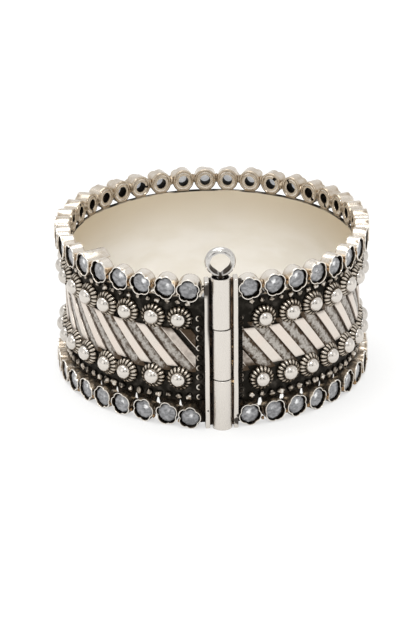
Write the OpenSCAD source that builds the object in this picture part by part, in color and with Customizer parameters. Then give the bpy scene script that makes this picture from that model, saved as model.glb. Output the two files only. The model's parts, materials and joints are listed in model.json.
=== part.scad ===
// Wide silver bangle: a sheet band with a row of stone settings along each edge,
// two rows of fluted studs, slanting bars between them and a clasp of three
// knuckles held by a folded wire pin.
// The bangle stands on its lower settings. z = 0 is the surface under it, the z
// axis is the bangle's axis, and the clasp faces -y.

/* [Band] */
// Inner radius of the sheet, half of the opening for the wrist
inner_r = 30.15; // [29.5:0.05:30.8]
// Thickness of the sheet
sheet_t = 0.8; // [0.7:0.05:1]
// Height of the sheet between the two rows of settings
sheet_h = 23; // [22.5:0.1:24]

/* [Settings and stones] */
// Settings in each row, from one side of the clasp round to the other
setting_count = 37; // [36:1:37]
// Angle from the clasp to the centre of the first setting
setting_start = 10.6; // [10.4:0.1:11]
// Diameter of a setting's tube at its inner end
setting_d = 5.05; // [4.9:0.05:5.1]
// Diameter of the tube at its rim, around the stone
rim_d = 4.6; // [4.5:0.05:4.8]
// Length of a setting along its own axis
setting_l = 3.3; // [3:0.1:3.6]
// Diameter of the seat that the stone lies in
seat_d = 4.1; // [3.9:0.05:4.2]
// Thickness of the ring under the stone
ledge_t = 1.3; // [1:0.1:1.6]
// Hole in that ring, which shows the stone from the inside
ledge_hole_d = 2.3; // [2:0.1:2.6]
// Gap between a stone and its setting
stone_gap = 0.12; // [0.05:0.01:0.2]

/* [Studs and bars] */
// Studs in each row
stud_count = 32; // [31:1:32]
// Angle from the clasp to the first stud on its right
stud_start = 16.4; // [15.5:0.1:17]
// Angle from the clasp to the last stud on its left
stud_end = 15; // [14:0.1:16]
// Diameter of a stud's dome where it meets the sheet
dome_d = 5; // [4.6:0.1:5.2]
// Height of the dome above the sheet
dome_h = 1.5; // [1.2:0.1:1.8]
// Diameter of the ball on the dome
ball_d = 2.9; // [2.6:0.1:3.2]
// Width of a slanting bar
bar_w = 1.7; // [1.4:0.1:2]
// Lean of the bars from upright
bar_lean = 37; // [34:1:42]

/* [Clasp] */
// Outer diameter of the knuckles
knuckle_d = 4.3; // [4.2:0.05:4.3]
// Wall of the knuckles
knuckle_wall = 0.45; // [0.4:0.05:0.5]
// Gap between two knuckles
knuckle_gap = 0.15; // [0.1:0.01:0.2]
// Width of the upright strip at each end of the sheet
strip_w = 0.95; // [0.8:0.05:1]
// Radius of the half-round wire of the pin
wire_r = 1.05; // [1:0.01:1.1]
// Inner radius of the pin's eye
eye_r = 2.13; // [2:0.01:2.3]

/* [Hidden] */
$fn = 64;
// Long shallow arcs need more segments
sheet_fn = 180;
leg_fn = 3000;

silver = [0.80, 0.78, 0.74];
stone_grey = [0.58, 0.60, 0.64];

// A cut runs this far past the face that it leaves
over = 0.5;
// A piece that stands on the sheet is let into it by this much
sink = 0.35;

// The backs of the settings, strips and knuckles stay this far outside the
// opening's circle
back_gap = 0.05;

outer_r = inner_r + sheet_t;

// Heights. The settings' tubes stand clear of the sheet's edge on small feet.
foot_h = 0.12;
foot_w = 1.8;
foot_t = 0.6;
foot_root = 0.4;
low_row_z = setting_d / 2;
sheet_z = setting_d + foot_h;
top_row_z = sheet_z + sheet_h + foot_h + setting_d / 2;

// Settings
setting_r = inner_r + back_gap;
setting_step = (360 - 2 * setting_start) / (setting_count - 1);

// Stones: a flat back, a straight girdle and a cut crown with a flat table
stone_r = seat_d / 2 - stone_gap;
girdle_h = 1.1;
crown_h = 0.4;
table_r = 1.25;
stone_lift = 0.02;

// Studs. The dome is the cap of a sphere. The rows lie this far inside the
// sheet's lower and upper edges.
low_stud_inset = 5;
top_stud_inset = 4.5;
stud_step = (360 - stud_start - stud_end) / (stud_count - 1);
stud_rows = [sheet_z + low_stud_inset, sheet_z + sheet_h - top_stud_inset];
dome_r = (pow(dome_d / 2, 2) + pow(dome_h, 2)) / (2 * dome_h);
ball_rise = 1.25;

// Bars. Each starts below the gap between two studs of the upper row and ends
// bar_turn degrees to the right of that. The last ones are cut off upright
// beside the clasp, at these angles from it.
bar_h = 0.8;
bar_l = 10.4;
bar_rise = 0.5;
bar_lag = 0.45;
bar_turn = 11.2;
left_margin = 9.3;
right_margin = 8.4;
bar_z = sheet_z + sheet_h / 2 + bar_rise;
bar_start = stud_start - bar_lag * stud_step + bar_turn / 2;

// Clasp. It stands a little higher than the upper settings.
clasp_lead = 0.16;
strip_x = 2.6;
strip_depth = 3.1;
strip_r = sqrt(pow(inner_r, 2) - pow(strip_x, 2)) + back_gap;
sheet_end = 5.3;
clasp_h = top_row_z + setting_d / 2 + clasp_lead;
clasp_r = inner_r + back_gap + knuckle_d / 2;
knuckle_h = (clasp_h - 2 * knuckle_gap) / 3;
bore_r = knuckle_d / 2 - knuckle_wall;
web_t = 1;
web_y = 0.9;

// Pin: a wire with a flat inner side, folded over a round eye. The two legs
// meet in a V under the eye and bow out in the knuckles, which holds them.
eye_rise = 3.3;
eye_z = clasp_h + eye_rise;
v_half = 50;
v_z = eye_z - eye_r / sin(v_half);
leg_end_z = 1.2;
leg_clear = 0.05;
leg_gap = 0.05;
leg_top = 0.1;
leg_bow = bore_r - leg_clear - wire_r - leg_gap;
leg_l = v_z - leg_end_z;
leg_arc_r = (pow(leg_l / 2, 2) + pow(leg_bow, 2)) / (2 * leg_bow);
leg_angle = asin(leg_l / 2 / leg_arc_r);
leg_over = 0.5;

// Places children at an azimuth, radius and height, with their z axis pointing
// straight out of the band and their y axis up.
module at(azimuth, radius, height) {
    rotate([0, 0, azimuth])
        translate([0, -radius, height])
            rotate([90, 0, 0])
                children();
}

module sheet() {
    rotate([0, 0, -90 + sheet_end])
        rotate_extrude(angle = 360 - 2 * sheet_end, $fn = sheet_fn)
            translate([inner_r, sheet_z])
                square([sheet_t, sheet_h]);
}

// One setting: a tube that narrows to its rim, with a thick ring under the
// stone. Its foot reaches the sheet's edge, up or down.
module setting(foot_up) {
    foot_y = setting_d / 2 - foot_root;
    foot_l = foot_root + foot_h + sink;
    difference() {
        union() {
            cylinder(h = setting_l, d1 = setting_d, d2 = rim_d);
            translate([-foot_w / 2, foot_up ? foot_y : -foot_y - foot_l, back_gap])
                cube([foot_w, foot_l, foot_t]);
        }
        translate([0, 0, ledge_t])
            cylinder(h = setting_l, d = seat_d);
        translate([0, 0, -over])
            cylinder(h = setting_l, d = ledge_hole_d);
    }
}

module setting_row(height, foot_up) {
    for (i = [0 : setting_count - 1])
        at(setting_start + i * setting_step, setting_r, height)
            setting(foot_up);
}

module stud() {
    rotate_extrude()
        intersection() {
            translate([0, sink + dome_h - dome_r])
                circle(r = dome_r);
            square([dome_d, dome_r]);
        }
    translate([0, 0, sink + ball_rise])
        sphere(d = ball_d);
}

module stud_row(height) {
    for (i = [0 : stud_count - 1])
        at(stud_start + i * stud_step, outer_r - sink, height)
            stud();
}

module bar() {
    rotate([0, 0, bar_lean])
        translate([-bar_w / 2, -bar_l / 2, 0])
            cube([bar_w, bar_l, bar_h]);
}

// The wedge of space beside the clasp that the bars leave free
module clasp_side() {
    rotate([0, 0, -90 - left_margin])
        rotate_extrude(angle = left_margin + right_margin)
            translate([inner_r - over, sheet_z])
                square([sheet_t + bar_h + 2 * over, sheet_h]);
}

module bars() {
    for (i = [0 : stud_count - 2])
        at(bar_start + i * stud_step, outer_r - sink, bar_z)
            bar();
}

// The bars whose upper or lower end is cut off beside the clasp
module cut_bars() {
    difference() {
        for (i = [-1, stud_count - 1])
            at(bar_start + i * stud_step, outer_r - sink, bar_z)
                bar();
        clasp_side();
    }
}

module end_strip(side) {
    left = side < 0 ? -strip_x - strip_w : strip_x;
    translate([left, -strip_r - strip_depth, 0])
        cube([strip_w, strip_depth, clasp_h]);
}

// One knuckle and the web that joins it to the strip on its own side
module knuckle(index, side) {
    bottom = index * (knuckle_h + knuckle_gap);
    translate([0, -clasp_r, bottom])
        difference() {
            union() {
                cylinder(h = knuckle_h, d = knuckle_d);
                translate([side < 0 ? -strip_x - over : 0, web_y, 0])
                    cube([strip_x + over, web_t, knuckle_h]);
            }
            translate([0, 0, -over])
                cylinder(h = knuckle_h + 2 * over, r = bore_r);
        }
}

module band() {
    color(silver) {
        sheet();
        setting_row(low_row_z, true);
        setting_row(top_row_z, false);
        for (height = stud_rows)
            stud_row(height);
        bars();
        cut_bars();
        end_strip(-1);
        end_strip(1);
        knuckle(0, -1);
        knuckle(1, 1);
        knuckle(2, -1);
    }
}

module stone() {
    rotate_extrude()
        polygon([
            [0, 0],
            [stone_r, 0],
            [stone_r, girdle_h],
            [table_r, girdle_h + crown_h],
            [0, girdle_h + crown_h]
        ]);
}

module stone_row(height) {
    color(stone_grey)
        for (i = [0 : setting_count - 1])
            at(setting_start + i * setting_step, setting_r + ledge_t + stone_lift, height)
                stone();
}

module half_round() {
    intersection() {
        circle(r = wire_r);
        translate([0, -wire_r])
            square([wire_r, 2 * wire_r]);
    }
}

// The eye and the V under it, in the plane of the eye with x to the right and z
// up. The flat side of the wire faces the middle.
module eye() {
    rotate([90, 0, 0])
        rotate([0, 0, -v_half])
            rotate_extrude(angle = 180 + 2 * v_half)
                translate([eye_r, 0])
                    half_round();
}

module v_side() {
    intersection() {
        rotate([0, 180 + v_half, 0])
            translate([-eye_r, 0, 0])
                rotate([0, 0, 180])
                    linear_extrude(height = eye_r / tan(v_half) + 2 * wire_r)
                        half_round();
        translate([0, -wire_r - over, -2 * eye_r - 2 * wire_r])
            cube([2 * eye_r, 2 * (wire_r + over), 2 * eye_r + 2 * wire_r]);
    }
}

// Leg: a shallow arc that leaves the middle at the V and comes back at its tip
module leg() {
    intersection() {
        translate([leg_gap + leg_bow - leg_arc_r, 0, (v_z + leg_end_z) / 2 - eye_z])
            rotate([90, 0, 0])
                rotate([0, 0, -leg_angle - leg_over])
                    rotate_extrude(angle = 2 * (leg_angle + leg_over), $fn = leg_fn)
                        translate([leg_arc_r, 0])
                            half_round();
        translate([0, -wire_r - over, leg_end_z - eye_z])
            cube([2 * wire_r + leg_bow, 2 * (wire_r + over), leg_l - leg_top]);
    }
}

module clasp_pin() {
    color(silver)
        translate([0, -clasp_r, eye_z]) {
            eye();
            for (side = [0, 1])
                mirror([side, 0, 0]) {
                    v_side();
                    leg();
                }
        }
}

band();
stone_row(top_row_z);  // top_stones
stone_row(low_row_z);  // bottom_stones
clasp_pin();
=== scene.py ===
# %% [markdown]
# # A wide silver bangle with a pin clasp
# The bangle is a springy sheet of silver, bent into an open ring. Flower-shaped cups with flat
# cut stones are soldered along both edges, and between them lie two rows of ribbed studs,
# slanting bars and hammered strips. Three knuckles and a folded wire pin close it at the front.
# The construction model is loaded first. It fixes every size and place, and each visible piece
# is modelled around it. Modelling is done in millimetres, and each finished piece is scaled to
# metres, because bevels and cuts are unreliable at a few ten-thousandths of a unit.

# %% Load the construction model
import json
from math import atan2, copysign, cos, pi, radians, sin, sqrt, tau
import random
import bpy
import bmesh
from mathutils import Matrix, Vector, noise


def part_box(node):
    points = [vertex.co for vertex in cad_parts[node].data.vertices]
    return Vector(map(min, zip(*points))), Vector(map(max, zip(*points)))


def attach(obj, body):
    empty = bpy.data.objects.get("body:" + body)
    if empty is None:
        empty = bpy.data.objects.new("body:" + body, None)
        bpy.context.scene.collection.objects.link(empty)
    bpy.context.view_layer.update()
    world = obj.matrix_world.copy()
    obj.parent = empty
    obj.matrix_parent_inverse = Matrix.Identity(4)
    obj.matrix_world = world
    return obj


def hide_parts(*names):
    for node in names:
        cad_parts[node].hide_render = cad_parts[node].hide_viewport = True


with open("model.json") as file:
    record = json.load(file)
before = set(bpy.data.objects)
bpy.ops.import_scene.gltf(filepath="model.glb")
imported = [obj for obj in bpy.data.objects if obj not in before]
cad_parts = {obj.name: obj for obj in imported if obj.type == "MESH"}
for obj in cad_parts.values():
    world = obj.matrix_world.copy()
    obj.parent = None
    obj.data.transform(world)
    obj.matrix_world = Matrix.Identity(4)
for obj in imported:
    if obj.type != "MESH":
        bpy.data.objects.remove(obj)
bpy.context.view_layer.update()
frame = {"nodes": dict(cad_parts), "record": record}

# %% [markdown]
# ## Sizes that come from the construction model
# The opening's radius and the sheet's height are stated there as a mount, and the rows of
# stones give the heights of the settings. What it doesn't state, such as the sheet's thickness
# and the number of settings, is repeated in this script as a number.

# %% Read the driving sizes
MM = 0.001
mounts = {mount["name"]: mount for mount in frame["record"]["mounts"]}
opening = mounts["wrist_opening"]
inner_r = opening["dims"]["r_mm"]
sheet_h = opening["dims"]["length_mm"]
sheet_low = opening["pos_m"][2] / MM - sheet_h / 2
sheet_top = sheet_low + sheet_h
sheet_t = 0.8
outer_r = inner_r + sheet_t
row_low = sum(corner.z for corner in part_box("bottom_stones")) / 2 / MM
row_top = sum(corner.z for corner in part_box("top_stones")) / 2 / MM
clasp_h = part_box("band")[1].z / MM
eye = Vector(mounts["pin_eye"]["pos_m"]) / MM
print("inside radius", inner_r, "sheet from", sheet_low, "to", sheet_top)

# %% [markdown]
# ## The camera
# It stands 23.5 degrees above the horizontal and 631 mm away, with a long lens. These values
# were fitted to the places of the stones and studs, so the bangle fills the frame as it does in
# the photograph. The clasp is a little to the right of the camera's axis, and the camera is
# tilted by half a degree.

# %% Set up the camera
CAMERA_ELEVATION = radians(23.48)
CLASP_TURN = radians(2.68)
CAMERA_ROLL = radians(-0.479)
CAMERA_DISTANCE = 630.6 * MM
CAMERA_TARGET = Vector((-1.023, 0, row_low + 9.218)) * MM


def add_object(name, data):
    thing = bpy.data.objects.new(name, data)
    bpy.context.collection.objects.link(thing)
    return thing


camera = add_object("camera", bpy.data.cameras.new("camera"))
camera.data.lens = 169.3
camera.data.sensor_width = 36
camera.data.clip_end = 10
toward = Vector((0, -cos(CAMERA_ELEVATION), sin(CAMERA_ELEVATION)))
look = Matrix.Rotation(pi / 2 - CAMERA_ELEVATION, 4, "X") @ Matrix.Rotation(CAMERA_ROLL, 4, "Z")
aim = Matrix.Translation(CAMERA_TARGET + CAMERA_DISTANCE * toward) @ look
camera.matrix_world = Matrix.Rotation(-CLASP_TURN, 4, "Z") @ aim
bpy.context.scene.camera = camera

# %% [markdown]
# ## Shader maths as Python
# A material is easier to read as a formula than as a list of nodes. Wire wraps one socket, and
# an expression on it adds the Math nodes. Every other node comes from Finish.node.

# %% The socket wrapper
class Wire:
    """One output socket, with the arithmetic that shader maths needs."""

    def __init__(self, finish, socket):
        self.finish = finish
        self.socket = socket

    def maths(self, operation, *values):
        return self.finish.node("ShaderNodeMath", {"operation": operation}, dict(enumerate(values)))

    def __add__(self, other):
        return self.maths("ADD", self, other)

    def __sub__(self, other):
        return self.maths("SUBTRACT", self, other)

    def __rsub__(self, other):
        return self.maths("SUBTRACT", other, self)

    def __mul__(self, other):
        return self.maths("MULTIPLY", self, other)

    __radd__ = __add__
    __rmul__ = __mul__


class Finish:
    """A material whose nodes are written as expressions."""

    def __init__(self, name):
        self.material = bpy.data.materials.new(name)
        self.material.use_nodes = True
        self.tree = self.material.node_tree
        self.tree.nodes.clear()
        self.place = self.node("ShaderNodeTexCoord", output="Object")

    def node(self, kind, settings=None, sockets=None, output=0):
        made = self.tree.nodes.new(kind)
        for name, value in (settings or {}).items():
            setattr(made, name, value)
        for name, value in (sockets or {}).items():
            if isinstance(value, Wire):
                self.tree.links.new(value.socket, made.inputs[name])
            else:
                made.inputs[name].default_value = value
        if not made.outputs:
            return made
        return Wire(self, made.outputs[output])

    def smooth(self, value, low, high):
        limits = {"Value": value, "From Min": low, "From Max": high}
        return self.node("ShaderNodeMapRange", {"interpolation_type": "SMOOTHSTEP"}, limits)

    def blend(self, share, first, second):
        ends = {0: share, 6: (*first, 1) if isinstance(first, tuple) else first}
        ends[7] = (*second, 1) if isinstance(second, tuple) else second
        return self.node("ShaderNodeMix", {"data_type": "RGBA"}, ends, output=2)

    def grain(self, size, detail=2.0, stretch=(1, 1, 1)):
        """Noise from 0 to 1 with lumps of about this size in mm."""
        where = self.node("ShaderNodeMapping", None, {"Vector": self.place, "Scale": stretch})
        knobs = {"Vector": where, "Scale": 1 / (size * MM), "Detail": detail}
        return self.node("ShaderNodeTexNoise", None, knobs)

    def distance(self, centre):
        """How far a point of the piece is from this centre, in metres."""
        ends = {0: self.place, 1: Vector(centre) * MM}
        return self.node("ShaderNodeVectorMath", {"operation": "DISTANCE"}, ends, output="Value")

    def axis(self, name):
        """One coordinate of a point of the piece, in metres."""
        return self.node("ShaderNodeSeparateXYZ", None, {"Vector": self.place}, output=name)

    def polish(self):
        """The piece's own polish: 1 where hands and cloths rub it, 0 in its hollows. On some pieces it
        also holds painted shade and painted highlights.
        """
        return self.node("ShaderNodeAttribute", {"attribute_name": "polish"}, output="Fac")

    def relief(self, height, depth):
        """Small unevenness, this deep in mm."""
        return self.node("ShaderNodeBump", None, {"Height": height, "Distance": depth * MM})

    def metal(self, shine, black, bright, roughness, height, depth):
        """Metal that goes from black to bright as shine goes from 0 to 1."""
        return self.close({"Base Color": self.blend(shine, black, bright), "Metallic": 1.0,
                           "Roughness": roughness, "Normal": self.relief(height, depth)})

    def close(self, surface):
        shader = self.node("ShaderNodeBsdfPrincipled", None, surface)
        self.node("ShaderNodeOutputMaterial", None, {"Surface": shader})
        return self.material

# %% [markdown]
# ## Blackened silver
# The maker dips the whole bangle in liver of sulphur, which turns silver brown-black, and then
# rubs it with a cloth. Only what stands up becomes bright again. So one finish serves most
# pieces: each mesh carries a polish value on its points, and noise frays the border. On some
# pieces that value also holds painted shade and painted highlights. Silver that is rubbed a
# little is dull and tan, and only well rubbed silver is white.

# %% The finish of blackened silver
OXIDE = (0.014, 0.012, 0.010)
OXIDE_WARM = (0.080, 0.055, 0.036)
STAIN = (0.075, 0.066, 0.058)
SILVER = (0.76, 0.72, 0.66)
SILVER_DULL = (0.50, 0.44, 0.37)


def patinated(name, bright=SILVER, dull=SILVER_DULL, fray=0.3, gloss=0.24, warm=0.5):
    """Silver, blackened in its hollows and rubbed bright where it stands up."""
    finish = Finish(name)
    wear_and_light = finish.polish() + (finish.grain(0.9) - 0.5) * fray
    shine = finish.smooth(wear_and_light, 0.22, 0.72)
    brown = finish.smooth(finish.grain(1.1), 0.45, 0.75) * warm
    stain = finish.blend(brown, OXIDE, OXIDE_WARM)
    tone = finish.blend(finish.smooth(wear_and_light, 0.6, 1.0), dull, bright)
    roughness = 0.52 - shine * (0.52 - gloss) + (finish.grain(0.25) - 0.5) * 0.12
    return finish.metal(shine, stain, tone, roughness, finish.grain(0.18, 4.0), 0.015)


cup_finish = patinated("cup_silver", bright=(0.80, 0.75, 0.68), dull=(0.46, 0.37, 0.27), fray=0.2)
low_cup_finish = patinated("low_cup_silver", bright=(0.80, 0.76, 0.70), dull=(0.46, 0.38, 0.29),
                           fray=0.8, gloss=0.3, warm=1.0)
stud_finish = patinated("stud_silver", bright=(0.70, 0.65, 0.58), dull=(0.40, 0.34, 0.27),
                        fray=0.25, warm=0.9)
granule_finish = patinated("granule_silver", gloss=0.3)
# Painted shade: the webs and fillers are dark all over, for the deep gap behind the knuckles, with
# patina.
web_shade_finish = patinated("web_silver", bright=(0.42, 0.30, 0.20), dull=(0.22, 0.14, 0.09),
                       gloss=0.4, warm=1.0)

# %% [markdown]
# ## Brushed and filed silver
# The balls, the knuckles and the two end strips are rubbed all over. Fine scratches run along
# them, so their noise is stretched. The left strip is darkened near its top: painted shade beside
# the upper cup. A few pits and specks are left elsewhere. Each dark mark is a spot: a soft ball
# round a point of the piece. The bars are filed flat, with scratches along them, and are creamy
# where they are clean.

# %% The finishes of the rubbed and the filed silver
def rubbed(name, tones, gloss, scratches=(1, 1, 1), stains_and_shade=()):
    """The dark spots are real stains and painted shade. Each is (centre, radius, size of its grain),
    all in mm.
    """
    finish = Finish(name)
    streak = finish.grain(0.22, 3.0, scratches)
    shine = finish.smooth(finish.polish(), 0.2, 0.8)
    for centre, radius, size in stains_and_shade:
        frayed = finish.distance(centre) + (finish.grain(size) - 0.5) * radius * MM
        shine = shine * finish.smooth(frayed, 0.6 * radius * MM, 1.2 * radius * MM)
    roughness = 0.55 - shine * (0.55 - gloss) + streak * 0.08
    return finish.metal(shine, STAIN, finish.blend(streak, *tones), roughness, streak, 0.004)


KNUCKLE_TONES = ((0.64, 0.60, 0.55), (0.71, 0.67, 0.62))
BALL_TONES = ((0.58, 0.54, 0.49), (0.74, 0.70, 0.65))
ball_finish = rubbed("ball_silver", BALL_TONES, gloss=0.09)
knuckle_finish = rubbed("knuckle_silver", KNUCKLE_TONES, gloss=0.24, scratches=(1, 1, 0.06))

finish = Finish("bar_silver")
scratch = finish.grain(0.14, 3.0, (1, 1, 0.4))
shine = finish.smooth(finish.polish() + (finish.grain(0.8) - 0.5) * 0.25, 0.3, 0.8)
patches = finish.smooth(finish.grain(3), 0.35, 0.65)
pink = finish.blend(patches, (0.64, 0.58, 0.52), (0.68, 0.58, 0.51))
tone = finish.blend(scratch, pink, (0.78, 0.72, 0.65))
roughness = 0.60 - shine * 0.28 + scratch * 0.1
bar_finish = finish.metal(shine, OXIDE_WARM, tone, roughness, scratch, 0.005)

# %% [markdown]
# ## Hammered silver and the smooth inside
# A small hammer left dimples in the strips between the bars, and the black stays in them. The
# inside of the sheet is rubbed by the wrist and creamy. Towards its upper edge it turns tan, a
# painted warm reflection and shade, and at the very edge some black is left in places.

# %% The finishes of the strips and the inside
finish = Finish("hammered_silver")
dimple = finish.grain(0.42, 3.0)
fine = finish.grain(0.16, 2.0)
shine = finish.smooth(finish.polish() * (0.4 + 1.1 * dimple) + (fine - 0.5) * 0.7, 0.22, 0.95)
tone = finish.blend(dimple, (0.21, 0.18, 0.145), (0.62, 0.595, 0.56))
strip_finish = finish.metal(shine, OXIDE_WARM, tone, 0.52 - shine * 0.16, dimple + fine * 0.3, 0.08)

INSIDE_SHADE_FROM = sheet_low + 0.42 * sheet_h
RIM_FROM, RIM_FULL = sheet_top - 0.3, sheet_top - 0.1
finish = Finish("satin_silver")
height = finish.axis("Z")
# Painted shade and warm reflection: the inside turns tan towards its upper edge.
edge = finish.smooth(height, INSIDE_SHADE_FROM * MM, sheet_top * MM)
warm = finish.blend(edge, (0.98, 0.94, 0.87), (0.77, 0.68, 0.54))
smear = finish.smooth(finish.grain(9, 3.0, (1, 1, 2.5)), 0.35, 0.7)
inside = finish.blend(smear * 0.3, warm, (0.82, 0.75, 0.61))
rim = finish.smooth(height, RIM_FROM * MM, RIM_FULL * MM)
black_rim = rim * finish.smooth(finish.grain(7), 0.4, 0.6)
shine = finish.smooth(finish.polish(), 0.3, 0.8) * (1 - black_rim)
spots = finish.smooth(finish.grain(1.5, 3.0), 0.45, 0.8)
stain = finish.blend(spots, (0.018, 0.016, 0.013), (0.075, 0.066, 0.056))
scratch = finish.grain(0.3, 4.0, (1, 1, 6))
roughness = 0.58 - shine * 0.16 + scratch * 0.06
sheet_finish = finish.metal(shine, stain, inside, roughness, scratch, 0.003)

# %% [markdown]
# ## The stones' glass
# The stones are grey glass on foil, cloudy inside, under a clear polished face. Their polish is
# 0.3 on plain glass, 1 on a painted highlight where the foil glints, and 0 on the back. Daylight
# comes through them, so their backs carry a painted glow, an emission, in the holes of the cups.

# %% The finish of the stones
finish = Finish("foiled_stone")
cloud = finish.smooth(finish.grain(0.9, 3.0, (1, 1, 1.6)), 0.3, 0.72)
glass = finish.blend(cloud, (0.125, 0.125, 0.130), (0.350, 0.352, 0.360))
# Painted highlight: a bright patch on the face where the value on the points is high.
painted_glint = finish.smooth(finish.polish() + (finish.grain(0.4) - 0.5) * 0.5, 0.55, 1.0)
with_highlight = finish.blend(painted_glint, glass, (0.90, 0.90, 0.90))
front = finish.smooth(finish.polish(), 0.0, 0.25)
stone_finish = finish.close({
    "Base Color": finish.blend(front, (0.72, 0.73, 0.75), with_highlight), "Roughness": 0.30,
    "Metallic": 0.15, "Coat Weight": 0.6, "Coat Roughness": 0.08,
    # Painted glow: the stone's back emits light, standing in for daylight that comes through it.
    "Normal": finish.relief(finish.grain(0.7), 0.01), "Emission Strength": 0.35,
    "Emission Color": finish.blend(front, (0.9, 0.92, 0.95), (0, 0, 0))})
print("finishes:", sorted(material.name for material in bpy.data.materials))

# %% [markdown]
# ## From a bmesh to a piece
# Small parts, such as one cup, are made in a bmesh of their own and then joined to the whole
# row. That is much quicker than adding to a large bmesh, and no bevel can touch a neighbour. A
# finished row is scaled from millimetres to metres, gets its finish, rides on a body of the
# construction model and may say which construction node it stands for.

# %% The helpers that start, join and finish a piece
def start():
    """An empty bmesh whose points carry a polish value."""
    bm = bmesh.new()
    return bm, bm.verts.layers.float.new("polish")


def rotate(part, angle, axis):
    bmesh.ops.rotate(part, verts=part.verts, matrix=Matrix.Rotation(angle, 3, axis))


def scale(part, factors):
    bmesh.ops.scale(part, verts=part.verts, vec=factors)


def share(value):
    """Keeps a polish between 0 and 1."""
    return min(1.0, max(0.0, value))


def begin(seed):
    """An empty piece and its own random numbers, which are the same in each run."""
    return start()[0], random.Random(seed)


def as_mesh(bm, name):
    mesh = bpy.data.meshes.new(name)
    bm.to_mesh(mesh)
    bm.free()
    return mesh


def lay_down(whole, mesh, place):
    """Moves a mesh to its place and adds it to the whole piece."""
    mesh.transform(place)
    whole.from_mesh(mesh)
    bpy.data.meshes.remove(mesh)


def join(whole, part, place=Matrix()):
    """Adds a part. Its points were moved one by one, so its normals are worked out again."""
    part.normal_update()
    bmesh.ops.recalc_face_normals(part, faces=part.faces)
    lay_down(whole, as_mesh(part, "part"), place)


def new_piece(name, bm, finish, body="bangle", stands_for=(), sharp=40):
    scale(bm, (MM, MM, MM))
    mesh = as_mesh(bm, name)
    mesh.shade_smooth()
    mesh.set_sharp_from_angle(angle=radians(sharp))
    mesh.materials.append(finish)
    piece = add_object(name, mesh)
    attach(piece, body)
    if stands_for:
        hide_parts(*stands_for)
    triangles = sum(len(face.vertices) - 2 for face in mesh.polygons)
    reach = max(vert.co.length for vert in mesh.vertices) / MM
    print(f"{name}: {triangles} triangles, reach {reach:.1f} mm")


def single(name, part, finish, place=Matrix(), sharp=40):
    """A piece that is one part."""
    whole, _ = start()
    join(whole, part, place)
    new_piece(name, whole, finish, sharp=sharp)


def stand(azimuth, radius, height, turn=0.0):
    """Puts a part on the band: its x to the right, its y up, its z straight out."""
    out = Matrix.Rotation(azimuth, 4, "Z") @ Matrix.Translation((0, -radius, height))
    return out @ Matrix.Rotation(pi / 2, 4, "X") @ Matrix.Rotation(turn, 4, "Z")

# %% [markdown]
# ## The sheet
# It is one strip of silver, 0.8 mm thick. A rectangle is spun about the bangle's axis, and
# stops short of the clasp on both sides. A very low wave keeps its reflections alive, as hand
# bending does, and its outer face stays black under the ornaments.

# %% Spin the sheet
SHEET_END = radians(5.3)
SHEET_STEPS = 180
SHEET_CUTS = 11
SHEET_WAVE = 0.05
WAVE_SIZE = 9


def open_edges(part):
    return [edge for edge in part.edges if edge.is_boundary]


def close_holes(part):
    bmesh.ops.holes_fill(part, edges=open_edges(part), sides=0)


sheet, polish = start()
corners = [(inner_r, sheet_low), (outer_r, sheet_low), (outer_r, sheet_top), (inner_r, sheet_top)]
outline = [sheet.verts.new((0, -radius, height)) for radius, height in corners]
sides = [sheet.edges.new((outline[i - 1], outline[i])) for i in range(4)]
uprights = [side for side in sides if side.calc_length() > 2 * sheet_t]
bmesh.ops.subdivide_edges(sheet, edges=uprights, cuts=SHEET_CUTS)
rotate(sheet, SHEET_END, "Z")
bmesh.ops.spin(sheet, geom=sheet.verts[:] + sheet.edges[:], cent=(0, 0, 0), axis=(0, 0, 1),
               angle=tau - 2 * SHEET_END, steps=SHEET_STEPS)
close_holes(sheet)
bmesh.ops.recalc_face_normals(sheet, faces=sheet.faces)
for vert in sheet.verts:
    outward = Vector((vert.co.x, vert.co.y, 0)).normalized()
    on_inside = vert.co.xy.length < inner_r + sheet_t / 2
    vert[polish] = 1.0 if on_inside else 0.1
    if on_inside:
        vert.co += outward * SHEET_WAVE * (1 + noise.noise(vert.co / WAVE_SIZE))
new_piece("sheet", sheet, sheet_finish, stands_for=["band"])

# %% [markdown]
# ## Turned and lobed forms
# Cups, stones, studs, knuckles and wire rings are all rings of points, one after the other. Each
# ring is extruded from the last, and a wave runs round it: five round petals on a cup, seventeen
# ribs on a stud. The wave is 1 on a crest and 0 in a fold, so it shapes the ring and sets its
# polish at once. A high fade keeps the polish to the very crest.

# %% The helpers for turned and lobed forms
def turned(rings, segments, wave=None, lifts=None, capped=False, fade=1):
    """Rings of (radius on a crest, height, depth of a fold, polish in a fold, on a crest)."""
    part, polish = start()
    bmesh.ops.create_circle(part, segments=segments, radius=1)
    first = part.edges[:]
    ring = first
    for index, (radius, height, fold, dull, bright) in enumerate(rings):
        lift = lifts[index] if lifts else 0
        if index:
            made = bmesh.ops.extrude_edge_only(part, edges=ring)["geom"]
            corners = {item for item in made if isinstance(item, bmesh.types.BMVert)}
            ring = [item for item in made if isinstance(item, bmesh.types.BMEdge)
                    and item.verts[0] in corners and item.verts[1] in corners]
        for vert in {vert for edge in ring for vert in edge.verts}:
            angle = atan2(vert.co.y, vert.co.x)
            crest = wave(angle) if wave else 1.0
            reach = radius - fold * (1 - crest)
            vert.co = (reach * cos(angle), reach * sin(angle), height + lift * crest)
            vert[polish] = dull + (bright - dull) * max(0.0, crest) ** fade
    if capped:
        bmesh.ops.edgeloop_fill(part, edges=first)
        bmesh.ops.edgeloop_fill(part, edges=ring)
    else:
        bmesh.ops.bridge_loops(part, edges=first + ring)
    return part, polish


FOLD_OFF = 0.14
PETAL_ROUND = 2.4


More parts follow.
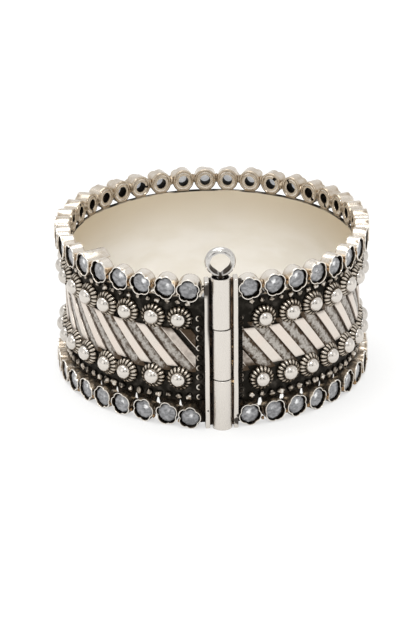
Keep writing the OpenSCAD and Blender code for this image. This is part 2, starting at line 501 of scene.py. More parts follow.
def petals(rng, count, depth_low, depth_high):
    """A wave with round petals between folds, each petal a little different."""
    even = tau / count
    turn = rng.uniform(0, even)
    folds = [turn + even * (i + rng.uniform(-FOLD_OFF, FOLD_OFF)) for i in range(count)]
    depths = [rng.uniform(depth_low, depth_high) for _ in folds]

    def wave(angle):
        passed = [(angle - fold) % tau for fold in folds]
        before = passed.index(min(passed))
        after = (before + 1) % count
        width = (folds[after] - folds[before]) % tau
        across = 2 * passed[before] / width - 1
        depth = depths[after] if across > 0 else depths[before]
        return 1 - depth * abs(across) ** PETAL_ROUND

    return wave

# %% [markdown]
# ## Settings
# Each cup is a short tube of thin sheet. The maker pushes its wall in at four or five places,
# so that the rim grips the stone and looks like a flower. Towards the wrist it ends in a thick
# disc with a hole, through which the stone's back shows. Every cup is made anew with its own
# folds, because no two of them are alike, and on some discs the joint of the wire stayed open.
# The cups near the clasp are shorter, except the last one, which stands out. Opposite the
# clasp they lean inwards, and their upper walls are pressed down a little.

# %% Make the two rows of settings
SETTINGS = 37
SETTING_START = radians(10.6)
SETTING_STEP = (tau - 2 * SETTING_START) / (SETTINGS - 1)
SETTING_R = inner_r + 0.05
CUP_SEGMENTS = 64
CUP_L = 3.34
CUP_LEAN = 0.03
CUP_OFF = 0.004
FOLD_DEPTH = (0.7, 1.1)
OPEN_SEAMS = 0.4
SEAM_COSINE = 0.985
DISC_R = 1.90
DISC_WORN = 0.81
LEDGE_TOP = 2.1
FRONT_SHORT = 0.13
SLANT_SHORT = 0.16
BACK_PRESSED = 0.25
BACK_LEAN = 0.28
LONG_CUP = 1.1
LAST_OFF = radians(-0.9)
setting_angles = [SETTING_START + i * SETTING_STEP for i in range(SETTINGS)]
setting_angles[-1] += LAST_OFF


def make_cup(rng, wall, disc):
    """One cup, from the tube's inner end over the rim, down to the ledge and through its hole."""
    rings = [
        (2.44, 0.12, 0.02, 0.8 * wall, 0.8 * wall), (2.46, 0.5, 0.04, 0.9 * wall, wall),
        (2.47, 2.0, 0.08, 0.9 * wall, wall), (2.48, 2.66, 0.14, 0.8 * wall, wall),
        (2.50, 3.0, 0.38, 0.6 * wall, wall), (2.50, 3.22, 0.46, 0.9, 1.0),
        (2.46, 3.33, 0.46, 1.0, 1.0), (2.31, CUP_L, 0.44, 0.9, 1.0), (2.24, 3.22, 0.44, 0.2, 0.4),
        (2.19, 2.5, 0.36, 0, 0), (2.14, 2.2, 0.30, 0, 0), (1.95, LEDGE_TOP, 0.10, 0, 0),
        (1.12, LEDGE_TOP, 0, 0, 0), (1.06, 0.25, 0, 0.1, 0.1), (1.15, 0.02, 0, disc, disc),
        (1.50, -0.03, 0, disc, disc), (1.80, 0.02, 0, disc, disc),
        (DISC_R, 0.10, 0, 0.8 * disc, 0.8 * disc), (1.97, 0.11, 0, 0.8 * disc, 0.8 * disc),
        (2.05, 0.03, 0, disc, disc), (2.36, 0.03, 0, disc, disc)]
    cup, polish = turned(rings, CUP_SEGMENTS, petals(rng, rng.choice((4, 5, 5)), *FOLD_DEPTH))
    seam = rng.uniform(0, tau) if rng.random() < OPEN_SEAMS else None
    squash = rng.uniform(0.95, 1.0)
    for vert in cup.verts:
        angle = atan2(vert.co.y, vert.co.x)
        # Painted shade: the outer wall of the tube is darker on its lower side.
        if vert.co.xy.length > 2.35 and vert.co.z < 3.1:
            vert[polish] *= 0.5 + 0.5 * share(0.2 + 0.5 * vert.co.y)
        on_disc = vert.co.z < 0.2 and 1.1 < vert.co.xy.length < DISC_R
        if seam is not None and on_disc and cos(angle - seam) > SEAM_COSINE:
            vert.co.z += 0.2
            vert[polish] = 0.0
        vert.co.x *= squash
        vert.co.y /= squash
    return cup, polish


def settle(part, azimuth):
    """Shortens the cups near the clasp, and leans and presses down the ones opposite to it."""
    front, back = max(0.0, cos(azimuth)), max(0.0, -cos(azimuth))
    reach = 1 - FRONT_SHORT * front ** 0.3 - SLANT_SHORT * front * abs(sin(azimuth))
    if azimuth > setting_angles[-1] - 0.5 * SETTING_STEP:
        reach = LONG_CUP
    for vert in part.verts:
        along = max(0.0, vert.co.z / CUP_L)
        if vert.co.y > 0:
            vert.co.y *= 1 - BACK_PRESSED * back * along
        vert.co.y = max(-row_low, vert.co.y - BACK_LEAN * back * (1 - along))
        vert.co.z *= reach


def make_settings(name, height, wall, side_light, back_light, finish, seed):
    """Wall is how bright the tubes are near the clasp, from wear and, in the lower row, painted shade
    between studs and cups. The next two values add painted light where positive and painted shade
    where negative, on the bangle's sides and at its back.
    """
    whole, rng = begin(seed)
    for azimuth in setting_angles:
        side, back = abs(sin(azimuth)), max(0.0, -cos(azimuth))
        cup, polish = make_cup(rng, wall + side_light * side + back_light * back, DISC_WORN)
        rotate(cup, rng.uniform(-CUP_LEAN, CUP_LEAN), "X")
        settle(cup, azimuth)
        join(whole, cup, stand(azimuth + rng.uniform(-CUP_OFF, CUP_OFF), SETTING_R, height))
    new_piece(name, whole, finish)


# The upper row gets painted shade on the bangle's sides and at its back; the lower row gets painted
# light on its sides.
make_settings("top_settings", row_top, 1.0, -0.12, -0.14, cup_finish, 11)
make_settings("bottom_settings", row_low, 0.59, 0.15, 0.0, low_cup_finish, 12)

# %% [markdown]
# ## Boxes with rounded edges
# Feet, bars, end strips, webs, fillers and the plate start as a cube that is scaled between two
# corners. All its edges are bevelled while it is still plain, because a bevel on cut or sliced
# edges can tear. After that it is sliced wherever it has to bend or change its polish.

# %% The helpers for rounded boxes
def block(low, high, rounding, segments=2):
    part, polish = start()
    bmesh.ops.create_cube(part, size=1)
    scale(part, Vector(high) - Vector(low))
    bmesh.ops.translate(part, vec=(Vector(high) + Vector(low)) / 2, verts=part.verts)
    bmesh.ops.bevel(part, geom=part.edges[:], offset=rounding, offset_type="OFFSET",
                    segments=segments, profile=0.5, affect="EDGES", material=-1)
    return part, polish


def cut(part, point, direction, clear=False):
    geom = part.verts[:] + part.edges[:] + part.faces[:]
    bmesh.ops.bisect_plane(part, geom=geom, plane_co=point, plane_no=direction, clear_outer=clear)


def slice_through(part, direction, places):
    for place in places:
        cut(part, Vector(direction) * place, direction)


def steps_between(low, high, count):
    return [low + (high - low) * i / count for i in range(1, count)]

# %% [markdown]
# ## Feet, solder and the long plate
# A foot joins each cup to the sheet's edge. The lower feet are so wide that only a slit stays
# open between two of them. Where two cups meet, a bridge of solder joins their tubes, and a
# golden drop of it sits between their rims. The sixth cup to the left of the clasp carries a
# plate on its tube, which stands out over the inside.

# %% Make the feet and the solder
FOOT_SUNK = 0.3
FOOT_NEAR = 0.02
FOOT_FAR = 0.62
FOOT_ROUND = 0.12


def make_feet(name, height, edge_z, size, wear_and_light, seed):
    """Size is the half-width at the cup, how much wider it is at the edge, and the foot's height."""
    whole, rng = begin(seed)
    wide, spread, tall = size
    toward_edge = copysign(1, edge_z - height)
    sunk = edge_z - height + toward_edge * FOOT_SUNK
    low, high = sorted((sunk, sunk - toward_edge * (tall + FOOT_SUNK)))
    for azimuth in setting_angles:
        half = wide * rng.uniform(0.93, 1.05)
        foot, polish = block((-half, low, FOOT_NEAR), (half, high, FOOT_FAR), FOOT_ROUND)
        for vert in foot.verts:
            at_edge = (vert.co.y - (low + high) / 2) * toward_edge > 0
            vert[polish] = wear_and_light * (0.5 if at_edge else 1.0)
            vert.co.x *= spread if at_edge else 1.0
        join(whole, foot, stand(azimuth, SETTING_R, height))
    new_piece(name, whole, cup_finish)


def lump(detail, radius, wear_and_light, uneven, finer, own):
    """A bead that set unevenly. Own moves it through the noise, so that no two are alike."""
    bead, polish = start()
    bmesh.ops.create_icosphere(bead, subdivisions=detail, radius=radius)
    for vert in bead.verts:
        vert[polish] = wear_and_light
        vert.co *= 1 + uneven * noise.noise(vert.co * finer + Vector((own, 0, 0)))
    return bead


def make_solder(name, height, finish, size, place, wear_and_light, seed):
    """Lumps between the cups. Place is (distance out, spread of it, height, spread of it) in mm."""
    whole, rng = begin(seed)
    out, out_spread, lift, lift_spread = place
    for azimuth in setting_angles[:-1]:
        bead = lump(3, 1, wear_and_light, 0.3, 1.2, azimuth * 9)
        scale(bead, Vector(size) * rng.uniform(0.85, 1.15))
        reach = SETTING_R + out + rng.uniform(-out_spread, out_spread)
        up = height + lift + rng.uniform(-lift_spread, lift_spread)
        join(whole, bead, stand(azimuth + SETTING_STEP / 2, reach, up))
    new_piece(name, whole, finish)


solder_finish = patinated("solder", bright=(0.62, 0.44, 0.24), dull=(0.30, 0.19, 0.10),
                          gloss=0.3, warm=1.0)
BRIDGE = (0.5, 1.0, 1.3)
DROP = (0.3, 0.42, 0.45)
make_feet("top_feet", row_top, sheet_top, (1.0, 1.55, 0.6), 0.7, 21)
make_feet("bottom_feet", row_low, sheet_low, (2.0, 1.15, 1.4), 0.35, 22)
make_solder("top_bridges", row_top, cup_finish, BRIDGE, (0.95, 0.1, -0.1, 0.15), 0.56, 23)
make_solder("bottom_bridges", row_low, low_cup_finish, BRIDGE, (1.2, 0.2, 0.3, 0.2), 0.3, 24)
make_solder("top_solder", row_top, solder_finish, DROP, (2.5, 0.2, -0.1, 0.5), 0.6, 25)
make_solder("bottom_solder", row_low, solder_finish, DROP, (2.6, 0.2, -0.9, 0.4), 0.6, 26)

# %% Make the plate, bent a little over the tube that carries it
PLATE_LOW = (-1.8, 2.1, -2.9)
PLATE_HIGH = (2.3, 2.45, 2.5)
PLATE_BEND = 0.2
plate, polish = block(PLATE_LOW, PLATE_HIGH, 0.1)
slice_through(plate, (1, 0, 0), steps_between(PLATE_LOW[0], PLATE_HIGH[0], 8))
for vert in plate.verts:
    vert[polish] = 0.82
    vert.co.y -= PLATE_BEND * vert.co.x ** 2
single("long_plate", plate, cup_finish, stand(setting_angles[-6], SETTING_R, row_top))

# %% [markdown]
# ## Stones
# The stones are cut by hand: a flat back on foil, a straight edge, a narrow slope and a flat
# top. A turned form with nine to eleven uneven sides gives these facets, and sharp shading keeps
# each of them flat. They lie a little below the rim, so the cup's dark inside shows round them.

# %% Make the two rows of stones
STONE_BACK = LEDGE_TOP + 0.03
STONE_EDGE = 2.60
STONE_TOP = 2.92
STONE_R = 2.10
TABLE_R = 1.88
STONE_SHIFT = 0.15
STONE_LEAN = 0.07
# Radius of the painted highlight on each stone's face.
HIGHLIGHT_R = 0.95


def make_stones(name, height, node, seed):
    whole, rng = begin(seed)
    for azimuth in setting_angles:
        sides = rng.choice((9, 10, 11))
        uneven = [rng.uniform(0.0, 1.0) for _ in range(sides)]

        def wave(angle, uneven=uneven, sides=sides):
            return uneven[round(angle / tau * sides) % sides]

        rings = [(1.5, STONE_BACK, 0, 0, 0), (STONE_R, STONE_BACK + 0.05, 0.16, 0.3, 0.3),
                 (STONE_R, STONE_EDGE, 0.16, 0.3, 0.3), (TABLE_R, STONE_TOP - 0.1, 0.2, 0.3, 0.3),
                 (1.15, STONE_TOP, 0.3, 0.3, 0.3), (0.5, STONE_TOP, 0.1, 0.3, 0.3)]
        stone, polish = turned(rings, sides, wave, capped=True)
        lean = Matrix.Rotation(rng.uniform(-STONE_LEAN, STONE_LEAN), 4, "X")
        lean = lean @ Matrix.Rotation(rng.uniform(-STONE_LEAN, STONE_LEAN), 4, "Y")
        toward_clasp = -1 if azimuth < pi else 1
        rotate(stone, rng.uniform(0, 6.3), "Z")
        # A painted highlight on the face, high up and towards the clasp, of random strength.
        highlight_centre = Vector((toward_clasp * rng.uniform(0.1, 0.6), rng.uniform(0.5, 0.9), STONE_TOP))
        stone_highlight = rng.uniform(0.4, 1.1)
        for vert in stone.verts:
            vert[polish] += stone_highlight * max(0.0, 1 - (vert.co - highlight_centre).length / HIGHLIGHT_R)
        settle(stone, azimuth)
        shift = Matrix.Translation((toward_clasp * STONE_SHIFT, 0.5 * STONE_SHIFT, 0))
        join(whole, stone, stand(azimuth, SETTING_R, height) @ shift @ lean)
    new_piece(name, whole, stone_finish, stands_for=[node], sharp=6)


make_stones("top_row_stones", row_top, "top_stones", 31)
make_stones("bottom_row_stones", row_low, "bottom_stones", 32)

# %% [markdown]
# ## Studs
# A stud is a small dome of ribs, with a polished ball melted onto it. The dome's rings climb a
# slope that is steep at its foot and flat under the ball, and the ribs stand along that slope, so
# the wave moves each ring outwards and upwards at once. No cloth reaches them close to the ball,
# so they stay black there. One pattern is laid down 64 times, each copy turned by its own amount.
# The balls on the bangle's sides are darker than those beside the clasp: painted shade.

# %% Make the pattern of a stud
STUDS = 32
STUD_START = radians(16.4)
STUD_END = radians(15.0)
STUD_STEP = (tau - STUD_START - STUD_END) / (STUDS - 1)
STUD_OFF = {"lower": (0.0, radians(-0.6)), "upper": (radians(0.9), radians(-0.3))}
RIBS = 17
DOME_R = 2.75
DOME_H = 1.55
RIB_H = 0.34
RIB_SHINE = (1, 1, 1, 1, 1, 0.55, 0, 0, 0)
BALL_R = 1.68
BALL_FLAT = 0.86
BALL_Z = 1.1
STUD_NUDGE = {"lower": {0: (-0.35, -0.35), 2: (-0.4, 0), 3: (-0.2, 0.35), 4: (0.3, 0.35),
                        26: (-0.8, 0.3), 27: (-0.7, 0.2), 29: (-0.6, -0.3)},
              "upper": {0: (-0.3, -0.25), 2: (0, 0.25), 3: (0.3, 0.2), 4: (0.4, 0.6),
                        29: (-0.25, 0)}}
# Painted shade on the bangle's sides, for the balls and, scaled, the bars.
SIDE_SHADE = 0.35
stud_rows = {"lower": sheet_low + 5, "upper": sheet_top - 4.5}


def stud_places(row):
    """Azimuth and height: even steps, off by as much as the maker was."""
    first, last = STUD_OFF[row]
    for i in range(STUDS):
        across, up = STUD_NUDGE[row].get(i, (0, 0))
        even = STUD_START + i * STUD_STEP + first + (last - first) * i / (STUDS - 1)
        yield even + across / outer_r, stud_rows[row] + up


def rib_wave(angle):
    across = (angle / tau * RIBS) % 1 * 2 - 1
    return sqrt(max(0.0, 1 - across ** 2))


rings, lifts = [(DOME_R, -0.2, RIB_H, 0, 0)], [0]
for step, shine in enumerate(RIB_SHINE):
    slope = step / (len(RIB_SHINE) - 1) * pi / 2 * 0.92
    radius = (DOME_R - RIB_H) * cos(slope) ** 0.8 + RIB_H * cos(slope)
    height = (DOME_H - RIB_H) * sin(slope)
    bright = 0.9 * sin(pi * (0.3 + 0.5 * step / len(RIB_SHINE))) if step else 0.2
    rings.append((radius, height, RIB_H * cos(slope), 0.1, shine * bright))
    lifts.append(RIB_H * sin(slope))
dome, _ = turned(rings, RIBS * 8, rib_wave, lifts, capped=True, fade=3)
bmesh.ops.recalc_face_normals(dome, faces=dome.faces)
pattern = as_mesh(dome, "stud_pattern")

# %% Lay down the studs and their balls, row by row
for row in stud_rows:
    whole, rng = begin(41)
    for azimuth, height in stud_places(row):
        lean = Matrix.Rotation(rng.uniform(-0.05, 0.05), 4, "Y")
        place = stand(azimuth, outer_r, height, rng.uniform(0, tau)) @ lean
        lay_down(whole, pattern.copy(), place)
    new_piece(f"{row}_studs", whole, stud_finish, sharp=60)
    whole, rng = begin(43)
    for azimuth, height in stud_places(row):
        ball, polish = start()
        bmesh.ops.create_uvsphere(ball, u_segments=28, v_segments=16, radius=BALL_R)
        # Painted shade: balls grow darker towards the bangle's sides.
        wear_and_light = 1 - SIDE_SHADE * sin(azimuth) ** 4
        for vert in ball.verts:
            vert[polish] = wear_and_light * share((vert.co.z + 0.6 * BALL_R) / (0.7 * BALL_R))
        scale(ball, [rng.uniform(0.97, 1.03), rng.uniform(0.97, 1.03), BALL_FLAT])
        shift = Matrix.Translation((rng.uniform(-0.1, 0.1), rng.uniform(-0.1, 0.1), BALL_Z))
        join(whole, ball, stand(azimuth, outer_r, height) @ shift)
    new_piece(f"{row}_balls", whole, ball_finish, sharp=60)
bpy.data.meshes.remove(pattern)

# %% [markdown]
# ## Bars and hammered strips
# The bars are square wire, soldered on at a slant and filed flat. They are laid out on the flat,
# as if the sheet were unrolled, cut level above and below, cut upright beside the clasp, and
# then bent round the sheet. Upright slices let them bend like the sheet does. On the bangle's
# sides they are darker: painted shade. A narrow hammered strip fills the middle of each groove
# between them.

# %% The helpers for flat work that is bent round the sheet
BAR_LEAN = radians(37)
MORE_LEAN = radians(3)
BAR_Z = sheet_low + sheet_h / 2 + 0.5
BAR_START = STUD_START - 0.45 * STUD_STEP + radians(11.2) / 2
FULL_TURN = tau * outer_r
RIGHT_CUT = radians(8.4) * outer_r
LEFT_CUT = FULL_TURN - radians(9.3) * outer_r


def lean_to(part, x):
    """Leans a flat part and moves it to its place. The lean grows towards the last bars."""
    lean = BAR_LEAN + MORE_LEAN * max(0.0, 2 * x / FULL_TURN - 1)
    place = Matrix.Translation((x, BAR_Z, 0)) @ Matrix.Rotation(lean, 4, "Z")
    bmesh.ops.transform(part, matrix=place, verts=part.verts)


def cut_off(part, point, away):
    """Cuts off what lies beyond a plane and closes the cut."""
    cut(part, point, away, clear=True)
    close_holes(part)


def trim(part, centre_x, tall):
    """Cuts flat work level above and below, and upright on the side of the clasp."""
    for side in (-1, 1):
        cut_off(part, (0, BAR_Z + side * tall / 2, 0), (0, side, 0))
    if centre_x < FULL_TURN / 2:
        cut_off(part, (RIGHT_CUT, 0, 0), (-1, 0, 0))
    else:
        cut_off(part, (LEFT_CUT, 0, 0), (1, 0, 0))


def wrap(part, polish, tall, least, fade):
    """Bends flat work round the sheet. Its polish grows from the least at both ends."""
    for vert in part.verts:
        to_end = tall / 2 - abs(vert.co.y - BAR_Z)
        vert[polish] *= min(1.0, least + (1 - least) * to_end / fade)
        azimuth = vert.co.x / outer_r
        reach = outer_r + vert.co.z
        vert.co = (reach * sin(azimuth), -reach * cos(azimuth), vert.co.y)

# %% Make the bars
BAR_W = 1.85
BAR_L = 13.2
BAR_TALL = 8.4
BAR_H = 0.5
BAR_FADE = 1.0
BAR_EDGE = 0.2
BAR_ROUND = 0.07
BAR_SIDE_SHADE = 0.7 * SIDE_SHADE
BAR_WORN = {-1: 0.52, STUDS - 1: 0.6, STUDS: 0.32}


def bar_shift(index):
    """Beside the clasp the bars were laid a little closer together."""
    beside = {-1: -0.5, 0: -0.4, STUDS: -1.8}
    return beside.get(index, -0.9 * max(0.0, 1 - index / 12))


whole, rng = begin(51)
for index in range(-1, STUDS + 1):
    width = BAR_W * rng.uniform(0.94, 1.06)
    corner = Vector((width / 2, BAR_L / 2, BAR_H))
    bar, polish = block(-corner, corner, BAR_ROUND)
    x = (BAR_START + index * STUD_STEP) * outer_r + bar_shift(index)
    # Painted shade: bars grow darker towards the bangle's sides.
    clean_and_shade = rng.uniform(0.9, 1.0) - BAR_SIDE_SHADE * sin(x / outer_r) ** 4
    clean_and_shade = BAR_WORN.get(index, clean_and_shade)
    slice_through(bar, (1, 0, 0), [BAR_EDGE - width / 2])
    for vert in bar.verts:
        edge = vert.co.x < BAR_EDGE / 2 - width / 2
        vert[polish] = (0.9 if edge else clean_and_shade) * share(0.25 + vert.co.z / BAR_H)
    lean_to(bar, x + rng.uniform(-0.08, 0.08))
    trim(bar, x, BAR_TALL)
    clean_half = BAR_TALL / 2 - BAR_FADE
    slice_through(bar, (0, 1, 0), [BAR_Z - clean_half, BAR_Z + clean_half])
    xs = [vert.co.x for vert in bar.verts]
    slice_through(bar, (1, 0, 0), steps_between(min(xs), max(xs), 12))
    wrap(bar, polish, BAR_TALL, 0.6, BAR_FADE)
    join(whole, bar)
new_piece("bars", whole, bar_finish, sharp=30)

# %% Make the hammered strips
STRIP_WIDE = 2.8
STRIP_L = 16
STRIP_TALL = 10.8
STRIP_HIGH = 0.3
STRIP_FADE = 1.28
STRIP_SKIRT = -0.2
DENT_SIZE = 0.6
DENT_DEPTH = 0.08
whole, rng = begin(52)
for index in range(-1, STUDS):
    strip, polish = start()
    bmesh.ops.create_grid(strip, x_segments=10, y_segments=44, size=0.5)
    scale(strip, (STRIP_WIDE, STRIP_L, 1))
    for vert in strip.verts:
        across = abs(vert.co.x) / (STRIP_WIDE / 2)
        dent = noise.noise(Vector((vert.co.x, vert.co.y, index * 5)) / DENT_SIZE)
        vert.co.z = STRIP_HIGH * (1 - across ** 2) + DENT_DEPTH * dent
        vert[polish] = 0.95 - 0.85 * across ** 1.4 + 0.6 * dent
    skirt = bmesh.ops.extrude_edge_only(strip, edges=open_edges(strip))["geom"]
    for vert in (item for item in skirt if isinstance(item, bmesh.types.BMVert)):
        vert.co.z = STRIP_SKIRT
        vert[polish] = 0
    close_holes(strip)
    x = (BAR_START + (index - 0.5) * STUD_STEP) * outer_r + bar_shift(max(index - 0.5, 0))
    lean_to(strip, x + rng.uniform(-0.1, 0.1))
    trim(strip, x, STRIP_TALL)
    wrap(strip, polish, STRIP_TALL, 0.2, STRIP_FADE)
    join(whole, strip)
new_piece("hammered_strips", whole, strip_finish, sharp=50)

# %% [markdown]
# ## Granules
# Knobbly silver grains run along both rows of settings, larger ones below. A column of little
# wire rings stands on each side of the clasp, finer ones on its right, and ends well below the
# upper grains. All stay mostly black. The grains have only their tips rubbed bright, and each
# ring has a painted highlight on its side away from the clasp.

# %% Make the granules
GRANULE_R = 0.66
GRANULE_STEP = 2.15
GRANULE_INSET = 0.95
COLUMN_X = 4.3
COLUMN_INSET = 4.5
FINE_STEP = 1.2
KNOBS_FINE = 2.2
KNOBS_HIGH = 0.4


def granules(name, height, size, seed):
    """A row of knobbly granules round the sheet, let into it to their middle."""
    whole, rng = begin(seed)
    for x in row_xs:
        ball, polish = start()
        bmesh.ops.create_uvsphere(ball, u_segments=16, v_segments=11, radius=GRANULE_R)
        wear_and_light = rng.uniform(0.45, 0.85)
        for vert in ball.verts:
            knob = noise.noise(vert.co * KNOBS_FINE + Vector((x, 0, 0)))
            vert[polish] = (wear_and_light + 0.5 * knob) * max(0.0, vert.co.z / GRANULE_R) ** 0.7
            vert.co *= 1 + KNOBS_HIGH * knob
        scale(ball, [size * rng.uniform(0.85, 1.1)] * 3)
        join(whole, ball, stand(x / outer_r, outer_r + 0.1, height + rng.uniform(-0.12, 0.12)))
    new_piece(name, whole, granule_finish, sharp=60)


row_start = COLUMN_X + GRANULE_STEP
row_length = FULL_TURN - 2 * row_start
row_count = round(row_length / GRANULE_STEP)
row_xs = [row_start + row_length * i / row_count for i in range(row_count + 1)]
column_low = sheet_low + GRANULE_INSET
column_length = sheet_h - GRANULE_INSET - COLUMN_INSET
granules("top_granules", sheet_top - GRANULE_INSET, 1.0, 61)
granules("bottom_granules", sheet_low + GRANULE_INSET, 1.2, 62)


def little_rings(name, side, step, size, wear_and_light, seed):
    """A column of small wire rings, each with a painted highlight on its side away from the clasp."""
    whole, rng = begin(seed)
    radius, wire = size
    section = [(radius + wire * cos(tau * k / 8), wire * sin(tau * k / 8), 0, 0, 0)
               for k in range(8)]
    count = round(column_length / step)
    for i in range(count + 1):
        ring, polish = turned(section, 20)
        ring_highlight = rng.uniform(*wear_and_light)
        for vert in ring.verts:
            # Painted highlight on each ring's side away from the clasp.
            vert[polish] = ring_highlight * max(0.0, side * vert.co.x / radius + 0.4) * (vert.co.z > 0)
        y = column_low + column_length * i / count
        join(whole, ring, stand(side * COLUMN_X / outer_r, outer_r + 0.04, y + rng.uniform(-0.1, 0.1)))
    new_piece(name, whole, granule_finish, sharp=60)


little_rings("left_rings", -1, GRANULE_STEP, (0.55, 0.19), (0.55, 0.9), 63)
little_rings("right_rings", 1, FINE_STEP, (0.36, 0.14), (0.15, 0.5), 64)

# %% [markdown]
# ## The clasp
# An upright strip is soldered to each end of the sheet, a little shorter than the three knuckles
# between them: the first and third belong to the left strip, the second to the right one. They
# are short tubes, turned here from rings. Their walls are uneven: the lower two stand out more to
# the right, round a bore that stays straight for the pin. The webs that carry them lie deep and
# are brown-black: patina, with painted shade of the gap behind the knuckles. A few specks of
# spilt solder lie on the right. A filler closes the corner under the sheet on each side, darkened
# the same way.

# %% Make the end strips
END_X = 2.6
END_W = 0.95
END_ROUND = 0.16
END_WAVE = 0.06
END_CUTS = (0.3, 0.6, 1.0, 1.6)
END_WORN = 0.8
END_CLOSER = {-1: 0.28, 1: 0}
# Where the painted shade on the left strip's right half starts, how far it grows, and its darkest.
STRIP_SHADE_FROM, STRIP_SHADE_OVER, STRIP_DARKEST = 14, 8, 0.75
END_DEPTH = 3.1
END_BACK = sqrt(inner_r ** 2 - END_X ** 2) + 0.05
END_FRONT = END_BACK + END_DEPTH
END_SHORT = {-1: 0.8, 1: 0.35}
left_x, right_x = -END_X - END_W / 2 + END_CLOSER[-1], END_X + END_W / 2
# The first left spot is painted shade at the strip's top, the second a pit.
left_shade_and_pit = [((left_x, -END_FRONT, clasp_h - 2.6), 1.5, 0.6),
               ((left_x + 0.1, -END_FRONT, 4.0), 0.2, 0.2)]
right_stains = [((right_x + 0.2, -END_FRONT, 1.6), 0.9, 0.3),
                ((right_x + 0.4, -END_FRONT, 2.8), 0.4, 0.2)]
for name, side, stains_and_shade in (("end_strip_left", -1, left_shade_and_pit), ("end_strip_right", 1, right_stains)):
    finish = rubbed(name + "_silver", KNUCKLE_TONES, 0.22, (1, 1, 0.1), stains_and_shade)
    top = clasp_h - END_SHORT[side]
    inner, outer = sorted(side * x + END_CLOSER[side] for x in (END_X, END_X + END_W))
    strip, polish = block((inner, -END_FRONT, 0), (outer, -END_BACK, top), END_ROUND, 3)
    slice_through(strip, (0, 0, 1), steps_between(0.5, top - 0.5, 32))
    slice_through(strip, (0, 1, 0), [-END_FRONT + depth for depth in END_CUTS])
    for vert in strip.verts:
        depth = vert.co.y + END_FRONT
        at_top = vert.co.z > top - 0.1
        vert[polish] = 0.9 if at_top else max(0.0, 1 - depth / END_WORN)
        # Painted shade: the right half of the left strip grows darker upwards.
        if side < 0 and vert.co.x > left_x + 0.2 and not at_top:
            vert[polish] *= 1 - STRIP_DARKEST * share((vert.co.z - STRIP_SHADE_FROM) / STRIP_SHADE_OVER)
        vert.co.x += END_WAVE * noise.noise(Vector((side * 4, 0, vert.co.z / 5)))
    single(name, strip, finish, sharp=35)

# %% Make the knuckles
BORE_R = 1.7
KNUCKLE_R = 2.03
KNUCKLE_GAP = 0.2
KNUCKLE_H = (clasp_h - 2 * KNUCKLE_GAP) / 3
KNUCKLE_LOW = [index * (KNUCKLE_H + KNUCKLE_GAP) for index in range(3)]
KNUCKLE_EDGE = 0.08
KNUCKLE_OFF = {"knuckle_bottom": 0.28, "knuckle_middle": 0.25, "knuckle_top": 0.08}
inner, outer = BORE_R + KNUCKLE_EDGE, KNUCKLE_R - KNUCKLE_EDGE
for low, (name, off) in zip(KNUCKLE_LOW, KNUCKLE_OFF.items()):
    high = low + KNUCKLE_H
    low_edge, high_edge = low + KNUCKLE_EDGE, high - KNUCKLE_EDGE
    wall = [low_edge, *steps_between(low_edge, high_edge, 6), high_edge]
    rows = [(BORE_R, low_edge, 0.0), (inner, low, 0.3), (outer, low, 0.7)]
    rows += [(KNUCKLE_R, z, 1.0) for z in wall]
    rows += [(outer, high, 1.0), (inner, high, 0.4), (BORE_R, high_edge, 0.0)]
    knuckle, _ = turned([(radius, z, 0, shine, shine) for radius, z, shine in rows], 72)
    for vert in knuckle.verts:
        if vert.co.xy.length > inner + 0.01:
            vert.co.x += off
    single(name, knuckle, knuckle_finish, Matrix.Translation((0, eye.y, 0)), sharp=35)

# %% Make the webs behind the knuckles, and the fillers
WEB_FRONT = eye.y + 0.85
WEB_BACK = eye.y + 1.95
WEB_X = {True: 1.3, False: 1.72}
WEB_SHORT = (0.02, 0.02, 0.9)
WEB_WORN = {-1: 0.15, 1: 0.55}
FILLER_X = (END_X + 0.4, END_X + 1.9)
FILLER_Y = (-END_BACK - 1.3, -END_BACK - 0.5)
FILLER_Z = (0.6, sheet_low + 0.4)
whole, _ = start()
for index, low in enumerate(KNUCKLE_LOW):
    for side in (-1, 1):
        carries = (side < 0) == (index % 2 == 0)
        left, right = sorted((side * WEB_X[carries], side * (END_X + 0.3)))
        high = low + KNUCKLE_H - WEB_SHORT[index]
        web, polish = block((left, WEB_FRONT, low + 0.02), (right, WEB_BACK, high), 0.05)
        slice_through(web, (0, 0, 1), steps_between(low, low + KNUCKLE_H, 16))
        for vert in web.verts:
            vert[polish] = WEB_WORN[side] + 0.4 * noise.noise(vert.co)
        join(whole, web)
for side in (-1, 1):
    left, right = sorted(side * x for x in FILLER_X)
    filler, _ = block((left, FILLER_Y[0], FILLER_Z[0]), (right, FILLER_Y[1], FILLER_Z[1]), 0.1)
    join(whole, filler)
new_piece("knuckle_webs", whole, web_shade_finish, sharp=35)

# %% Make the specks of solder beside the knuckles
SPECK_HEIGHTS = (9.2, 10.4, 13.6, 14.3, 14.8, 17.9, 19.6, 22.8)
whole, rng = begin(71)
for height in SPECK_HEIGHTS:
    speck = lump(2, rng.uniform(0.2, 0.36), 0.9, 0.4, 5, height)
    place = (END_X - 0.12 + rng.uniform(-0.08, 0.08), WEB_FRONT - rng.uniform(0.1, 1.2), height)
    join(whole, speck, Matrix.Translation(place))
new_piece("clasp_specks", whole, solder_finish)

# %% [markdown]
# ## The pin
# The construction model already has the pin's true form: a half-round wire, folded over a round
# eye, with two legs that bow out in the knuckles. It stays, and only gets a bright finish, which
# is still brown on the flat inner side of the V under the eye and round the joint below it.

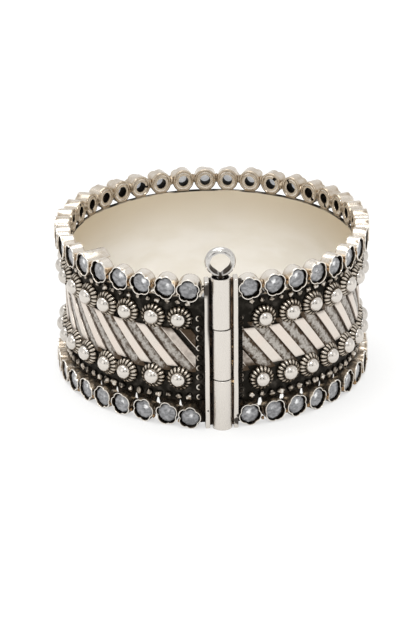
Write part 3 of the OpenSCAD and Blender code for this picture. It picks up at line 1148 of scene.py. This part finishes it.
# %% Finish the pin
NOTCH_HALF = radians(50)
EYE_R = 2.13
JOINT_LOW = 3.0
DARK_WIRE = (0.050, 0.038, 0.028)
finish = Finish("pin_silver")
rub = finish.grain(0.5, 3.0)
tone = finish.blend(rub, (0.42, 0.405, 0.385), (0.70, 0.68, 0.65))
x, up = finish.axis("X"), finish.axis("Z") - eye.z * MM
from_v = x.maths("ABSOLUTE", x) * cos(NOTCH_HALF) - up * sin(NOTCH_HALF)
from_eye = x.maths("SQRT", x * x + up * up)
inward = x.maths("MAXIMUM", from_v, from_eye)
inside = 1 - finish.smooth(inward, (EYE_R + 0.15) * MM, (EYE_R + 0.45) * MM)
below = 1 - finish.smooth(up, -1.0 * MM, 0.4 * MM)
over_joint = up + JOINT_LOW * MM
from_joint = x.maths("SQRT", x * x + over_joint * over_joint)
joint = 1 - finish.smooth(from_joint, 0.4 * MM, 0.75 * MM)
dark = x.maths("MAXIMUM", inside * below, joint)
roughness = rub * 0.12 + 0.14 + dark * 0.4
pin = frame["nodes"]["clasp_pin"]
pin.data.materials.clear()
pin.data.materials.append(finish.metal(dark, tone, DARK_WIRE, roughness, rub, 0.004))

# %% [markdown]
# ## Floor, light and dark cards
# The bangle stands on a pale floor in soft light from all round, as in a light tent. Upright
# silver that is seen from above mirrors the floor in front of it, so the pale floor is what
# makes the bars and knuckles bright. Two dark cards stand in the tent's gaps on both sides of
# the camera: polished balls show them as two small dark dots.

# %% Make the floor, the lights and the cards
def flat_card(name, size, finish):
    bm = bmesh.new()
    bmesh.ops.create_grid(bm, x_segments=1, y_segments=1, size=size)
    card = add_object(name, as_mesh(bm, name))
    card.data.materials.append(finish)
    return card


def paper(name, dark, light, glow=0.0):
    finish = Finish(name)
    return finish.close({"Base Color": finish.blend(finish.grain(200), dark, light),
                         "Roughness": 0.9, "Emission Color": (0.97, 0.97, 0.965, 1),
                         "Emission Strength": glow})


def face(thing, place, target):
    thing.location = place
    thing.rotation_euler = (Vector(target) - Vector(place)).to_track_quat("-Z", "Y").to_euler()


def soft_box(name, place, size, power):
    light = bpy.data.lights.new(name, "AREA")
    light.shape = "RECTANGLE"
    light.size, light.size_y = size
    light.energy = power
    face(add_object(name, light), place, CAMERA_TARGET)


CARD_TURN = radians(21)
CARD_UP = 0.32
CARD_AWAY = 0.65
CARD_HALF = 0.08
flat_card("floor", 3, paper("floor_paper", (0.40, 0.40, 0.398), (0.42, 0.42, 0.418), glow=0.58))
soft_box("light_above", (-0.1, 0.15, 0.7), (0.7, 0.5), 2.4)
soft_box("light_left", (-0.6, -0.45, 0.35), (0.4, 0.5), 0.3)
soft_box("light_right", (0.65, -0.35, 0.3), (0.35, 0.5), 0.2)
soft_box("light_front", (0.02, -0.45, 0.6), (0.14, 0.1), 0.8)
dark_card = paper("dark_card_paper", (0.02, 0.02, 0.02), (0.03, 0.03, 0.03))
for name, side in (("dark_card_left", -1), ("dark_card_right", 1)):
    turn = CARD_TURN * side
    place = Vector((sin(turn), -cos(turn), CARD_UP)) * CARD_AWAY
    face(flat_card(name, CARD_HALF, dark_card), place, CAMERA_TARGET)
world = bpy.data.worlds.new("light_tent")
world.use_nodes = True
world.node_tree.nodes["Background"].inputs["Color"].default_value = (0.97, 0.97, 0.97, 1)
world.node_tree.nodes["Background"].inputs["Strength"].default_value = 0.95
bpy.context.scene.world = world
bpy.context.scene.view_settings.view_transform = "Standard"
